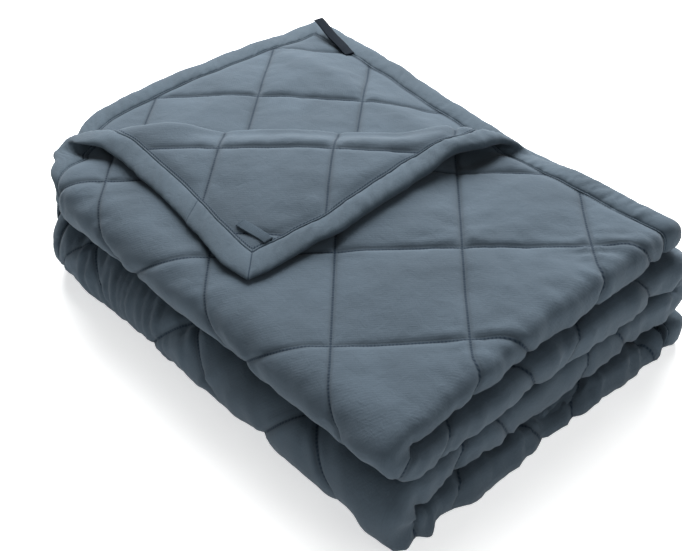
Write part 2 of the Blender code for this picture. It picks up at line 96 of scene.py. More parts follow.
# its edges bow in and out; its rim lies lower than the solid's and is drawn in to match
LEFT_BOW = np.array((
    # along from the corner, edge bowed out, tape's inner side bowed out
    (0.000, -0.0025, 0.0003), (0.045, 0.0031, 0.0033), (0.090, -0.0003, 0.0023), (0.130, -0.0037, -0.0002),
    (0.170, -0.0058, -0.0016), (0.225, -0.0036, -0.0010), (0.290, 0.0, 0.0),
))
RIGHT_BOW = np.array((
    (0.000, -0.0027, -0.0027), (0.035, 0.0018, -0.0017), (0.070, 0.0013, 0.0028), (0.110, 0.0053, 0.0083),
    (0.145, 0.0036, 0.0057), (0.192, 0.0012, 0.0021), (0.225, -0.0028, -0.0018), (0.272, -0.0088, -0.0033),
    (0.325, 0.0, 0.0),
))
BOW_REACH, BOW_FADE = 0.080, 0.040
EDGE_WANDER, WANDER_PITCH, WANDER_REACH, WANDER_LOOSE = 0.0026, 0.042, 0.055, 0.6

# the rim lies down on the layer below, but stands up near the crease
RIM_SINK, RIM_FROM, RIM_RUN = 0.0034, 0.014, 0.055
SINK_PAST, SINK_RUN = 0.004, 0.045
LIFT, LIFT_ALONG, LIFT_RUN, LIFT_IN, LIFT_PAST = 0.0075, 0.276, 0.036, 0.072, 0.020
RIM_U = 0.5
HOLLOWS = (
    # cavities under the ends of the crease: u, v, half size along u and v, depth
    (0.340, 0.543, 0.022, 0.024, 0.0120),
    (0.060, 0.228, 0.032, 0.024, 0.0110),
)
HOLLOW_PAST, HOLLOW_RUN = 0.001, 0.010

# the settled stack: a rounded left corner, and a free end, left side and back that sink
STACK_HEIGHT = 0.165
FLOOR_Z = 0.0011
END_DROP, END_DROP_RUN = 0.109, 0.121
SIDE_DROP, SIDE_DROP_RUN = 0.162, 0.270
CORNER_RADIUS, CORNER_X, CORNER_Y = 0.113, -0.337, -0.200
CORNER_EASED, CORNER_EASE_Z, CORNER_EASE_RUN = 0.60, 0.135, 0.035
BACK_DROP, BACK_Y, BACK_RUN, BACK_X, BACK_X_RUN = 0.115, 0.170, 0.060, 0.17, 0.12
BACK_END_DROP, BACK_END_Y, BACK_END_Y_RUN, BACK_END_X, BACK_END_RUN = 0.025, 0.06, 0.10, -0.24, 0.08
FOLD_TUCK, FOLD_TUCK_Z, FOLD_TUCK_RUN = 0.0080, 0.123, 0.024
TUCK_Y, TUCK_Y_RUN, TUCK_X, TUCK_X_RUN = 0.05, 0.04, -0.20, 0.07
TO_CENTRE = np.array((0.025288, -0.036772, -0.0011))  # to the part's own frame

LOW_Z = LAYER_OFFSET + LAYER_THICK / 2.0
THIRD_Z = LOW_Z + 2.0 * LEFT_RADIUS
SECOND_Z = THIRD_Z + 2.0 * RIGHT_RADIUS
TOP_Z = SECOND_Z + 2.0 * LEFT_RADIUS


def path_marks():
    """Path length at the start and end of each bend."""
    marks = [-LEFT_UPPER_Y]
    for step in (math.pi * LEFT_RADIUS, RIGHT_Y - LEFT_UPPER_Y, math.pi * RIGHT_RADIUS,
                 RIGHT_Y - LEFT_LOWER_Y, math.pi * LEFT_RADIUS):
        marks.append(marks[-1] + step)
    return marks


MARKS = path_marks()


def path_table(side):
    """Cloth length against path length for the outer (+1) or inner (-1) layer."""
    outer = (LEFT_RADIUS + side * LAYER_OFFSET) / LEFT_RADIUS
    inner = (RIGHT_RADIUS - side * LAYER_OFFSET) / RIGHT_RADIUS
    start = -(TOP_EDGE_Y if side > 0 else UNDER_EDGE_Y)
    path = [start - 1.0, start] + MARKS + [MARKS[-1] + 2.0]
    cloth = [-1.0]
    for k, rate in enumerate((1.0, 1.0, outer, 1.0, inner, 1.0, outer, 1.0)):
        cloth.append(cloth[-1] + (path[k + 1] - path[k]) * rate)
    return cloth, path


OUTER_CLOTH, OUTER_PATH = path_table(1)
INNER_CLOTH, INNER_PATH = path_table(-1)


def ease(t):
    """Smooth step from 0 to 1."""
    t = np.clip(t, 0.0, 1.0)
    return t * t * (3.0 - 2.0 * t)


def hash_angle(ix, iy, seed):
    """A fixed angle for each point of a whole-number grid."""
    h = (ix * 374761393 + iy * 668265263 + seed * 69069) & 0x7FFFFFFF
    h = ((h ^ (h >> 13)) * 1274126177) & 0x7FFFFFFF
    h = h ^ (h >> 16)
    return (h % 4096) * (2.0 * math.pi / 4096.0)


def ripple(x, y, seed):
    """Smooth two-way noise, about -1 to 1."""
    x, y = np.broadcast_arrays(np.asarray(x, float), np.asarray(y, float))
    ix, iy = np.floor(x).astype(np.int64), np.floor(y).astype(np.int64)
    fx, fy = x - ix, y - iy
    sx = fx * fx * fx * (fx * (fx * 6.0 - 15.0) + 10.0)
    sy = fy * fy * fy * (fy * (fy * 6.0 - 15.0) + 10.0)
    corner = []
    for dx in (0, 1):
        for dy in (0, 1):
            a = hash_angle(ix + dx, iy + dy, seed)
            corner.append(np.cos(a) * (fx - dx) + np.sin(a) * (fy - dy))
    low = corner[0] + sy * (corner[1] - corner[0])
    high = corner[2] + sy * (corner[3] - corner[2])
    return 1.5 * (low + sx * (high - low))


def creased(x, y, seed):
    """Rounded pleats parted by sharper valleys, -0.75 to 0.85."""
    return 1.6 * np.minimum(np.abs(ripple(x, y, seed)), 1.0) ** 0.75 - 0.75


def folded_plan(u, v, n):
    """The half fold: x, path length s, and height w off the doubled panel's middle."""
    upper = ease((v + SIDE_BLEND) / (2.0 * SIDE_BLEND))
    turn = TOP_TURN * upper + UNDER_TURN * (1.0 - upper)
    lean = TOP_LEAN * upper + UNDER_LEAN * (1.0 - upper)
    cloth = u + turn * v
    across = v - lean * np.minimum(u, LEAN_REACH)
    s = (np.interp(cloth, OUTER_CLOTH, OUTER_PATH) * upper
         + np.interp(cloth, INNER_CLOTH, INNER_PATH) * (1.0 - upper))
    end = np.interp(s, MARKS, (END_X[0], END_X[1], END_X[1], END_X[2], END_X[2], END_X[3]))
    centre = end - (LAYER_OFFSET + LAYER_THICK / 2.0)
    phi = np.clip(across / LAYER_OFFSET, -HALF_PI, HALF_PI)
    power = END_SQUARE + END_PRESSED * ease((s - MARKS[0]) / PRESSED_RUN)
    square = (np.cos(phi) ** power + np.abs(np.sin(phi)) ** power) ** (-1.0 / power)
    reach = (LAYER_OFFSET + n) * square * (1.0 + END_FILL * ease(1.0 - np.abs(across) / END_FILL_RUN))
    x = centre + reach * np.cos(phi) - np.maximum(np.abs(across) - HALF_PI * LAYER_OFFSET, 0.0)
    drawn = (ease((s - PULL_S) / PULL_S_RUN) * ease((MARKS[1] + PULL_PAST - s) / PULL_PAST)
             * ease((PULL_X - x) / PULL_X_RUN))
    return x + UNDER_PULL * drawn * (1.0 - upper), s, reach * np.sin(phi)


def crease_plane():
    """Distance past the crease is gu * u + gv * v + g0 on the flat top layer."""
    nx, ny = -math.sin(CREASE_ANGLE), math.cos(CREASE_ANGLE)
    x0 = END_X[0] - LAYER_OFFSET - LAYER_THICK / 2.0 + HALF_PI * LAYER_OFFSET
    return (nx * TOP_LEAN - ny, -nx - ny * TOP_TURN,
            (x0 - CREASE_X) * nx + (TOP_EDGE_Y - CREASE_Y) * ny)


def bow_out(rows, along, inset):
    """How far a place near a turned edge is bowed out."""
    k = np.clip(np.searchsorted(rows[:, 0], along, side="left") - 1, 0, len(rows) - 2)
    t = ease((along - rows[k, 0]) / (rows[k + 1, 0] - rows[k, 0]))
    edge = rows[k, 1] + t * (rows[k + 1, 1] - rows[k, 1])
    side = rows[k, 2] + t * (rows[k + 1, 2] - rows[k, 2])
    return np.where(inset < TAPE_WIDTH, edge + (side - edge) * inset / TAPE_WIDTH,
                    side * (1.0 - ease((inset - TAPE_WIDTH) / BOW_REACH)))


def bowed(u, v):
    """The turned corner's edges aren't straight, and the sewn edges wander a little."""
    gu, gv, g0 = crease_plane()
    loose = np.where((v < CORNER_V) | (u > CORNER_U), 0.0,
                     ease((gu * u + gv * v + g0 - math.pi * CREASE_RADIUS) / BOW_FADE))
    wander_u = (EDGE_WANDER * (1.0 - WANDER_LOOSE * loose) * ripple(v / WANDER_PITCH, 2.3, 91)
                * np.exp(-(u / WANDER_REACH) ** 2))
    wander_v = (EDGE_WANDER * ripple(u / WANDER_PITCH, 5.1, 92)
                * np.exp(-((v + UNDER_HALF) / WANDER_REACH) ** 2))
    return (u - loose * bow_out(RIGHT_BOW, TOP_HALF - v, u) + wander_u,
            v + loose * bow_out(LEFT_BOW, u, TOP_HALF - v) + wander_v)


def rim_rise(u, v):
    """How far the top layer is lifted (+) or sunk (-) off its even height near the turned corner."""
    gu, gv, g0 = crease_plane()
    at_crease = gu * u + gv * v + g0
    past = at_crease - math.pi * CREASE_RADIUS
    inset = np.minimum(u, TOP_HALF - v)
    sink = RIM_SINK * (1.0 - ease((inset - RIM_FROM) / RIM_RUN)) * ease((past - SINK_PAST) / SINK_RUN)
    hump = (LIFT * np.exp(-((TOP_HALF - v - LIFT_ALONG) / LIFT_RUN) ** 2) * (1.0 - ease(u / LIFT_IN))
            * ease(past / LIFT_PAST))
    hollow = 0.0
    for u0, v0, half_u, half_v, depth in HOLLOWS:
        hollow = hollow + depth * np.exp(-((u - u0) / half_u) ** 2 - ((v - v0) / half_v) ** 2)
    hollow = hollow * (1.0 - ease((at_crease + HOLLOW_PAST) / HOLLOW_RUN))
    return np.where((v < CORNER_V) | (u > RIM_U), 0.0, hump - sink - hollow)


def turn_corner(x, s, w, top):
    """Turn the top layer's corner back about the crease."""
    nx, ny = -math.sin(CREASE_ANGLE), math.cos(CREASE_ANGLE)
    e = (x - CREASE_X) * nx + (-s - CREASE_Y) * ny
    t = (x - CREASE_X) * ny - (-s - CREASE_Y) * nx
    beyond = np.maximum(np.maximum(-e, e - math.pi * CREASE_RADIUS), 0.0)
    flat = (CREASE_FLAT * ease((t - CREASE_FROM) / CREASE_FADE) * ease((CREASE_TO - t) / CREASE_FADE)
            - TIP_PUFF * ease((PUFF_FROM - t) / PUFF_RUN)) * (1.0 - ease(beyond / CREASE_RUN))
    thin = np.where(top, 1.0 - flat, 1.0)
    turned = top & (e > 0.0)
    r = CREASE_RADIUS - (w - LAYER_OFFSET)
    angle = np.clip(e / CREASE_RADIUS, 0.0, math.pi)
    moved = r * thin * np.sin(angle) - np.maximum(e - math.pi * CREASE_RADIUS, 0.0)
    lifted = LAYER_OFFSET + thin * (CREASE_RADIUS - r * np.cos(angle))
    pull = np.where(top, TIP_PULL * ease((TIP_FROM - t) / TIP_RUN) * (1.0 - ease(beyond / TIP_REACH)), 0.0)
    x, s = x - pull * ny, s - pull * nx
    return (np.where(turned, x + (moved - e) * nx, x), np.where(turned, s - (moved - e) * ny, s),
            np.where(turned, lifted, LAYER_OFFSET + thin * (w - LAYER_OFFSET)))


def on_path(s, w):
    """Path length and height to y and z, through the three quarter folds."""
    a, b, c, d, e, f = MARKS
    t1, t2, t3 = (s - a) / LEFT_RADIUS, (s - c) / RIGHT_RADIUS, (s - e) / LEFT_RADIUS
    r1, r2 = LEFT_RADIUS + w, RIGHT_RADIUS - w
    test = [s <= a, s <= b, s <= c, s <= d, s <= e, s <= f]
    y = np.select(test, [-s, LEFT_UPPER_Y - r1 * np.sin(t1), LEFT_UPPER_Y + (s - b),
                         RIGHT_Y + r2 * np.sin(t2), RIGHT_Y - (s - d), LEFT_LOWER_Y - r1 * np.sin(t3)],
                  LEFT_LOWER_Y + (s - f))
    z = np.select(test, [TOP_Z + w, (TOP_Z + SECOND_Z) / 2.0 + r1 * np.cos(t1), SECOND_Z - w,
                         (SECOND_Z + THIRD_Z) / 2.0 + r2 * np.cos(t2), THIRD_Z + w,
                         (THIRD_Z + LOW_Z) / 2.0 + r1 * np.cos(t3)], LOW_Z - w)
    return y, z


def settle(x, y, z):
    """Round the left corner in plan and let the free end, the left side and the back sink."""
    r = CORNER_RADIUS
    p = np.clip((CORNER_X + r - x) / r, 0.0, 1.3)
    q = np.clip((CORNER_Y + r - y) / r, 0.0, 1.3)
    r = r * (1.0 - CORNER_EASED * ease((z - CORNER_EASE_Z) / CORNER_EASE_RUN))
    x, y = (x + p * (1.0 - np.sqrt(np.maximum(1.0 - q * q / 2.0, 0.05))) * r,
            y + q * (1.0 - np.sqrt(np.maximum(1.0 - p * p / 2.0, 0.05))) * r)
    tuck = (FOLD_TUCK * np.exp(-((z - FOLD_TUCK_Z) / FOLD_TUCK_RUN) ** 2)
            * ease((CORNER_Y + TUCK_Y - y) / TUCK_Y_RUN) * ease((TUCK_X - x) / TUCK_X_RUN))
    x, y = x + tuck, y + tuck
    at_end = ease((BACK_END_X - x) / BACK_END_RUN)
    drop = (END_DROP * ease((CORNER_X + END_DROP_RUN - x) / END_DROP_RUN)
            + SIDE_DROP * ease((CORNER_Y + SIDE_DROP_RUN - y) / SIDE_DROP_RUN)
            + BACK_DROP * ease((y - BACK_Y) / BACK_RUN) * ease((BACK_X - x) / BACK_X_RUN)
            * (1.0 - 0.5 * at_end)
            + BACK_END_DROP * ease((y - BACK_END_Y) / BACK_END_Y_RUN) * at_end)
    return x, y, np.maximum(FLOOR_Z, z * (1.0 - drop * (z / STACK_HEIGHT) ** 2))


def place(u, v, n):
    """Flat cloth to its place on the folded stack, as rows of x, y, z."""
    u, v = bowed(u, v)
    x, s, w = folded_plan(u, v, n)
    x, s, w = turn_corner(x, s, w, (v > CORNER_V) & (s < MARKS[0] + CORNER_PATH))
    w = w + rim_rise(u, v)
    y, z = on_path(s, w)
    x, y, z = settle(x, y, z)
    return np.stack([x, y, z], axis=1) + TO_CENTRE


# ---- the quilting
OUTER_FILL, INNER_FILL, SEAM_HALF, EDGE_HALF = 0.0096, 0.0090, 0.0048, 0.0029  # half thicknesses
DOME_POWER = 3.4
GROOVE_DEPTH, GROOVE_WIDTH, GROOVE_POWER = 0.0031, 0.0036, 1.4
SWELL_FROM, SWELL_RUN, SWELL_POWER = 0.0305, 0.017, 2.2  # the filling rises from the tape inwards
# the cloth is drawn smoother over the folds
SIDE_SMOOTH, SMOOTH_SPREAD, SMOOTH_V, SMOOTH_V_RUN = 0.62, 0.045, 0.03, 0.07
END_SMOOTH, END_SMOOTH_RUN = 0.80, 0.085
OUTER_SEED, INNER_SEED = 11, 37
PUCKER, PUCKER_UPPER, PUCKER_LOWER, PUCKER_END = 0.55, 0.7, 1.0, 0.9  # plain, and added at each fold
INNER_PUCKER = 0.60
GATHER_DEPTH = 0.0012
CROSSING_PULL, CROSSING_REACH = 1.1, 0.020  # the gathers are stronger where seams cross
PATCH_PITCH = 0.06
GATHERS = (
    # share, distance from the stitches where they peak, pitch along and across, their shifts from one line to
    # the next, seed step
    (0.7, 0.006, 0.0085, 0.05, 17.0, 3.0, 0),
    (1.1, 0.019, 0.019, 0.06, 5.0, 7.0, 3),
)
UNEVEN = (
    # how unevenly the filling lies: depth, pitch, seed step
    (0.0010, 0.058, 5),
    (0.0005, 0.024, 8),
    (0.00025, 0.011, 9),
)


def pattern_u(u, v):
    """The quilting lines sit half a pocket further on, past the half fold."""
    return u - UNDER_SHIFT * ease((SHIFT_FROM - v) / SHIFT_RUN)


def seam_frame(u, v):
    """Distance to each family of lines, the place along it, and the line's number."""
    du, dv = pattern_u(u, v) - CROSS_U, v - CROSS_V
    a, b = (du + dv) / math.sqrt(2.0), (du - dv) / math.sqrt(2.0)
    ka, kb = np.round(a / POCKET_SIDE), np.round(b / POCKET_SIDE)
    return a - ka * POCKET_SIDE, b - kb * POCKET_SIDE, a, b, ka, kb


def inset_of(u, v):
    """Distance in from the nearest edge of the cloth."""
    return np.minimum(np.minimum(u, LENGTH - u), np.minimum(TOP_HALF - v, v + UNDER_HALF))


def along_fold(u, v):
    """Path length of a place on the outer face, for the folds it runs through."""
    return np.interp(u + TOP_TURN * v, OUTER_CLOTH, OUTER_PATH)


def near_bend(s, first, spread):
    """1 in the middle of a quarter fold, 0 past its ends."""
    middle, half = (MARKS[first] + MARKS[first + 1]) / 2.0, (MARKS[first + 1] - MARKS[first]) / 2.0
    return ease(1.0 - np.abs(s - middle) / (half + spread))


def puckering(u, v):
    """How strongly the seams are gathered at a place on the outer face."""
    s = along_fold(u, v)
    return (PUCKER + PUCKER_UPPER * near_bend(s, UPPER_LEFT, 0.04)
            + PUCKER_LOWER * near_bend(s, LOWER_LEFT, 0.05) + PUCKER_END * ease(1.0 - np.abs(v) / 0.09))


def pocket_height(u, v, side):
    """Soft pockets of filling between the lines of stitches, and their gathers."""
    da, db, a, b, ka, kb = seam_frame(u, v)
    ga, gb = np.abs(da), np.abs(db)
    dome = 1.0
    for g in (ga, gb):
        dome = dome * (1.0 - (1.0 - np.minimum(1.0, 2.0 * g / POCKET_SIDE)) ** DOME_POWER)
    if side > 0:
        full, seed, amount = OUTER_FILL, OUTER_SEED, puckering(u, v)
        s = along_fold(u, v)
        bends = np.maximum(near_bend(s, UPPER_LEFT, SMOOTH_SPREAD), near_bend(s, LOWER_LEFT, SMOOTH_SPREAD))
        stretched = bends * ease((v - SMOOTH_V) / SMOOTH_V_RUN)
        rolled = END_SMOOTH * ease(1.25 - np.abs(v) / END_SMOOTH_RUN)
        dome = dome + np.maximum(SIDE_SMOOTH * stretched, rolled) * (1.0 - dome)
    else:
        full, seed, amount = INNER_FILL, INNER_SEED, INNER_PUCKER
    groove = np.maximum(np.exp(-(ga / GROOVE_WIDTH) ** GROOVE_POWER),
                        np.exp(-(gb / GROOVE_WIDTH) ** GROOVE_POWER))
    h = SEAM_HALF + (full - SEAM_HALF) * dome - GROOVE_DEPTH * groove
    # gathers run out from each line of stitches and die away
    for g, along, k, other in ((ga, b, ka, gb), (gb, a, kb, ga)):
        pulled = 1.0 + CROSSING_PULL * np.exp(-(other / CROSSING_REACH) ** 2)
        patchy = 0.55 + 0.9 * ease(0.5 + 0.9 * ripple(along / PATCH_PITCH, 2.7 * k, seed + 6))
        gathers = 0.0
        for share, peak, pitch, pitch_across, shift, shift_across, step in GATHERS:
            strength = (g / peak) * np.exp(1.0 - g / peak)
            wave = ripple(along / pitch + shift * k, g / pitch_across + shift_across * k, seed + step)
            gathers = gathers + share * strength * wave
        h = h + GATHER_DEPTH * amount * pulled * patchy * gathers
    for depth, pitch, step in UNEVEN:
        h = h + depth * ripple(u / pitch, v / pitch, seed + step)
    return h


def cover_height(u, v, side):
    """Half thickness of the filled cloth on its outer (+1) or inner (-1) face."""
    inset = inset_of(u, v)
    ramp = np.clip((inset - SWELL_FROM) / SWELL_RUN, 0.0, 1.0)
    swell = EDGE_HALF + (pocket_height(u, v, side) - EDGE_HALF) * (1.0 - (1.0 - ramp) ** SWELL_POWER)
    return np.where(inset < SWELL_FROM, EDGE_HALF, swell)


END_BAND = 0.042  # how far the half fold's pleats run back from it
END_DEPTH, MIDDLE_DEPTH, LOW_DEPTH = 0.0009, 0.0012, 0.0052  # upright pleats: plain, and added lower down
# the lowest panel lies the other way up, so v > 0 is its floor side, and there the pleats die away
UNDERSIDE_FROM, UNDERSIDE_RUN, UNDERSIDE_EASED = 0.008, 0.009, 0.92
SLOT_DEPTH, SLOT_HALF, SLOT_TO, SLOT_RUN = 0.0100, 0.30, 0.018, 0.008  # sharp pleats in the lowest panel
SLACK_DEPTH, ROLL_DEPTH = 0.0028, 0.0018
REACH_DEPTH, REACH_AT, REACH_HALF = 0.0008, 0.055, 0.050  # shallow ones that run on past the fold


def end_gathers(u, v):
    """Pleats where the half fold bunches the cloth: slack ones half way down, deep upright ones lowest."""
    s = along_fold(u, 0.0 * v)
    middle = ease((s - MARKS[1] + 0.02) / 0.05) * ease((MARKS[LOWER_LEFT] - s) / 0.05)
    low = ease((s - MARKS[LOWER_LEFT]) / 0.08)
    upright = creased((u + 0.25 * v) / 0.024, v / 0.09, 71) + 0.45 * creased(u / 0.0125, v / 0.06, 72)
    slack = creased(v / 0.019 + 0.8 * ripple(u / 0.09, 0.5, 74), u / 0.085, 75)
    kept = 1.0 - UNDERSIDE_EASED * ease((v - UNDERSIDE_FROM) / UNDERSIDE_RUN)
    patchy = 0.45 + 1.1 * ease(0.5 + 0.9 * ripple(u / 0.11, s / 0.2, 77))
    depth = (END_DEPTH + MIDDLE_DEPTH * middle + LOW_DEPTH * low * kept) * patchy
    slots = np.maximum(1.0 - np.abs(ripple((u + 0.3 * v) / 0.031, v / 0.12, 78)) / SLOT_HALF, 0.0)
    slots = slots * low * ease((SLOT_TO - v) / SLOT_RUN) * ease(0.5 + 1.2 * ripple(u / 0.07, 0.5, 79))
    pleats = (depth * (upright - 0.35 * low) - SLOT_DEPTH * slots + SLACK_DEPTH * middle * slack
              + ROLL_DEPTH * ripple(u / 0.06, v / 0.2, 73))
    reach = np.exp(-((np.abs(v) - REACH_AT) / REACH_HALF) ** 2)
    return (np.exp(-(v / END_BAND) ** 2) * pleats
            + REACH_DEPTH * reach * ripple((u + 0.4 * v) / 0.021, v / 0.09, 76))


SIDE_PLEATS = (
    # fold, v they start from, depth, pitch, slant, seed
    (LOWER_LEFT, 0.26, 0.0040, 0.0150, 0.45, 81),
    (UPPER_LEFT, 0.36, 0.0013, 0.0190, 0.30, 82),
)


def fold_gathers(u, v):
    """Slanting gathers that run round the two left folds near the free end."""
    s = along_fold(u, v)
    out = 0.0
    for first, start, depth, pitch, slant, seed in SIDE_PLEATS:
        middle = (MARKS[first] + MARKS[first + 1]) / 2.0
        band = near_bend(s, first, 0.035) * ease((v - start) / 0.12) * ease((TOP_HALF - 0.034 - v) / 0.03)
        out = out + depth * band * creased((v + slant * (s - middle)) / pitch, s / 0.12, seed)
    return out


# ---- the body's mesh
GRID = POCKET_SIDE * math.sqrt(2.0) / 52.0  # 52 steps to a pocket's diagonal, so its corners are points
RIM_INSET = 0.0043  # the body stops inside the binding
COARSE = 5
FACES = {
    # the outer (1) and inner (-1) face: steps in bands of the length, and outside them; steps in bands of the
    # width, for the rows that show and for the others; and the stretches of the length that show
    1: (((0.0, 0.50, 1), (0.50, 1.13, 2), (1.13, 1.36, 1), (1.36, LENGTH, 2)), 2,
        ((-0.055, 0.60, 1),), ((-0.055, 0.055, 1),), ((0.0, 0.50), (1.13, 1.36))),
    -1: (((0.0, 0.40, 1),), COARSE,
         ((-0.62, -0.22, 1), (0.16, 0.60, 1)), (), ((0.0, 0.40),)),
}


def stepped(low, high, centre, bands, coarse):
    """Places from low to high on the grid about centre: its bands' steps inside them, coarse ones outside."""
    k, last = math.ceil((low - centre) / GRID + 0.3), math.floor((high - centre) / GRID - 0.3)
    values = []
    while k <= last:
        value = centre + k * GRID
        values.append(value)
        step = coarse
        for start, stop, fine in bands:
            if start <= value < stop:
                step = fine
                break
            if value < start:
                step = min(step, max(1, int((start - value) / GRID) + 1))
        k += step
    if values[0] - low > 1e-5:
        values.insert(0, low)
    if high - values[-1] > 1e-5:
        values.append(high)
    return values


def zip_rows(ids_a, pos_a, ids_b, pos_b):
    """Triangles between two rows of points that need not match."""
    faces = []
    i = j = 0
    while i < len(ids_a) - 1 or j < len(ids_b) - 1:
        if j == len(ids_b) - 1 or (i < len(ids_a) - 1 and pos_a[i + 1] <= pos_b[j + 1]):
            faces.append((ids_a[i], ids_a[i + 1], ids_b[j]))
            i += 1
        else:
            faces.append((ids_a[i], ids_b[j + 1], ids_b[j]))
            j += 1
    return faces


def quad_rows(ids_a, ids_b, u0, u1, vs):
    """Triangles between two matching rows, split along the nearest line of stitches."""
    a, d = ids_a[:-1], ids_a[1:]
    b, c = ids_b[:-1], ids_b[1:]
    vm = (vs[:-1] + vs[1:]) / 2.0
    um = np.full_like(vm, (u0 + u1) / 2.0)
    da, db, *_ = seam_frame(um, vm)
    # on the first family u + v is constant, so the split runs from b to d
    first = np.abs(da) <= np.abs(db)
    t1 = np.where(first[:, None], np.stack([a, b, d], 1), np.stack([a, b, c], 1))
    t2 = np.where(first[:, None], np.stack([b, c, d], 1), np.stack([a, c, d], 1))
    return np.concatenate([t1, t2])


def mesh_object(name, verts, faces, flat_uv, material):
    """A smooth piece with its flat layout as UVs, carried by the part's one body."""
    mesh = bpy.data.meshes.new(name)
    mesh.from_pydata(verts.tolist(), [], faces.tolist())
    mesh.update()
    layer = mesh.uv_layers.new(name="flat")
    index = np.empty(len(mesh.loops), dtype=np.int32)
    mesh.loops.foreach_get("vertex_index", index)
    layer.data.foreach_set("uv", flat_uv[index].astype(np.float32).ravel())
    mesh.polygons.foreach_set("use_smooth", np.ones(len(mesh.polygons), dtype=bool))
    mesh.materials.append(material)
    obj = bpy.data.objects.new(name, mesh)
    bpy.context.scene.collection.objects.link(obj)
    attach(obj, "root")
    return obj


def face_rows(side):
    """Rows of the flat mesh for one face, fine where the folded cloth shows."""
    bands_u, coarse_u, shown_v, plain_v, shown_u = FACES[side]
    low_v, high_v = -UNDER_HALF + RIM_INSET, TOP_HALF - RIM_INSET
    us = stepped(RIM_INSET, LENGTH - RIM_INSET, CROSS_U, bands_u, coarse_u)
    fine = stepped(low_v, high_v, CROSS_V, shown_v, COARSE)
    plain = stepped(low_v, high_v, CROSS_V, plain_v, COARSE)
    return [(u, np.array(fine if any(a < u < b for a, b in shown_u) else plain)) for u in us]


def build_body(material):
    """The filled cloth: two quilted faces and the rim between them, folded."""
    flat, faces, rows_of = [], [], {}
    offset = 0
    for side in (1, -1):
        rows = []
        for u, vs in face_rows(side):
            ids = np.arange(offset, offset + len(vs))
            offset += len(vs)
            flat.append(np.stack([np.full(len(vs), u), vs, np.full(len(vs), float(side))], 1))
            rows.append((u, vs, ids))
        rows_of[side] = rows
        for (u0, v0, ids0), (u1, v1, ids1) in zip(rows[:-1], rows[1:]):
            if len(v0) == len(v1) and np.allclose(v0, v1):
                tris = quad_rows(ids0, ids1, u0, u1, v0)
            else:
                tris = np.array(zip_rows(ids0, v0, ids1, v1))[:, ::-1]
            faces.append(tris if side > 0 else tris[:, ::-1])
    top, low = rows_of[1], rows_of[-1]
    top_u, low_u = [row[0] for row in top], [row[0] for row in low]
    for end, flip in ((0, False), (-1, True)):
        rim = np.array(zip_rows([row[2][end] for row in top], top_u, [row[2][end] for row in low], low_u))
        faces.append(rim[:, ::-1] if flip else rim)
        rim = np.array(zip_rows(top[end][2], top[end][1], low[end][2], low[end][1]))
        faces.append(rim if flip else rim[:, ::-1])
    u, v, face = np.concatenate(flat).T
    outer = cover_height(u, v, 1) + end_gathers(u, v) + fold_gathers(u, v)
    verts = place(u, v, np.where(face > 0, outer, -cover_height(u, v, -1)))
    uv = np.stack([pattern_u(u, v), v], 1)
    body = mesh_object("quilted_body", verts, np.concatenate(faces), uv, material)
    inset = body.data.attributes.new("inset", "FLOAT", "POINT")
    inset.data.foreach_set("value", inset_of(u, v).astype(np.float32))
    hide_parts("quilted_sheet")


# ---- the binding
BINDING_SECTION = (
    # inset from the edge, half thickness
    (0.0307, 0.0024), (0.0305, 0.0038), (0.0299, 0.0044), (0.0291, 0.0040), (0.0282, 0.0027),
    (0.0273, 0.0041), (0.0262, 0.0050), (0.0240, 0.0060), (0.0205, 0.0069), (0.0160, 0.0073),
    (0.0115, 0.0072), (0.0075, 0.0067), (0.0042, 0.0056), (0.0018, 0.0040), (0.0005, 0.0021), (0.0, 0.0),
)
TAPE_STEP = 0.0025
TAPE_STITCHES = 0.0282  # the row that holds the tape, in from the edge
MITRE_AT = 2.0 * LENGTH + TOP_HALF + UNDER_HALF  # the turned corner, along the tape
JOIN_AT, JOIN_SLANT = MITRE_AT - 0.116, 0.23  # where the tape's two ends are joined
JOINT_DIP, JOINT_HALF = 0.24, 0.0022  # how far the tape dips at both, and half its width
PUCKER_DEPTH, PUFF_DEPTH, TUCK_DEPTH = 0.0013, 0.0008, 0.0013
TUCK_INSET, TUCK_HALF = 0.0240, 0.0048  # small tucks just outside the stitches
STRAYS = (
    # how the outer edge strays in and out: size, pitch, line of the noise, seed
    (0.0006, 0.009, 1.3, 56),
    (0.0010, 0.022, 0.7, 54),
    (0.0016, 0.070, 0.2, 55),
)


def tape_puckers(along, across, seed):
    """Slanting pleats and finer puckers on one face of the tape."""
    return (creased((along + 0.35 * across) / 0.015, across / 0.035, seed)
            + 0.6 * ripple(along / 0.0065, across / 0.015, seed + 1))


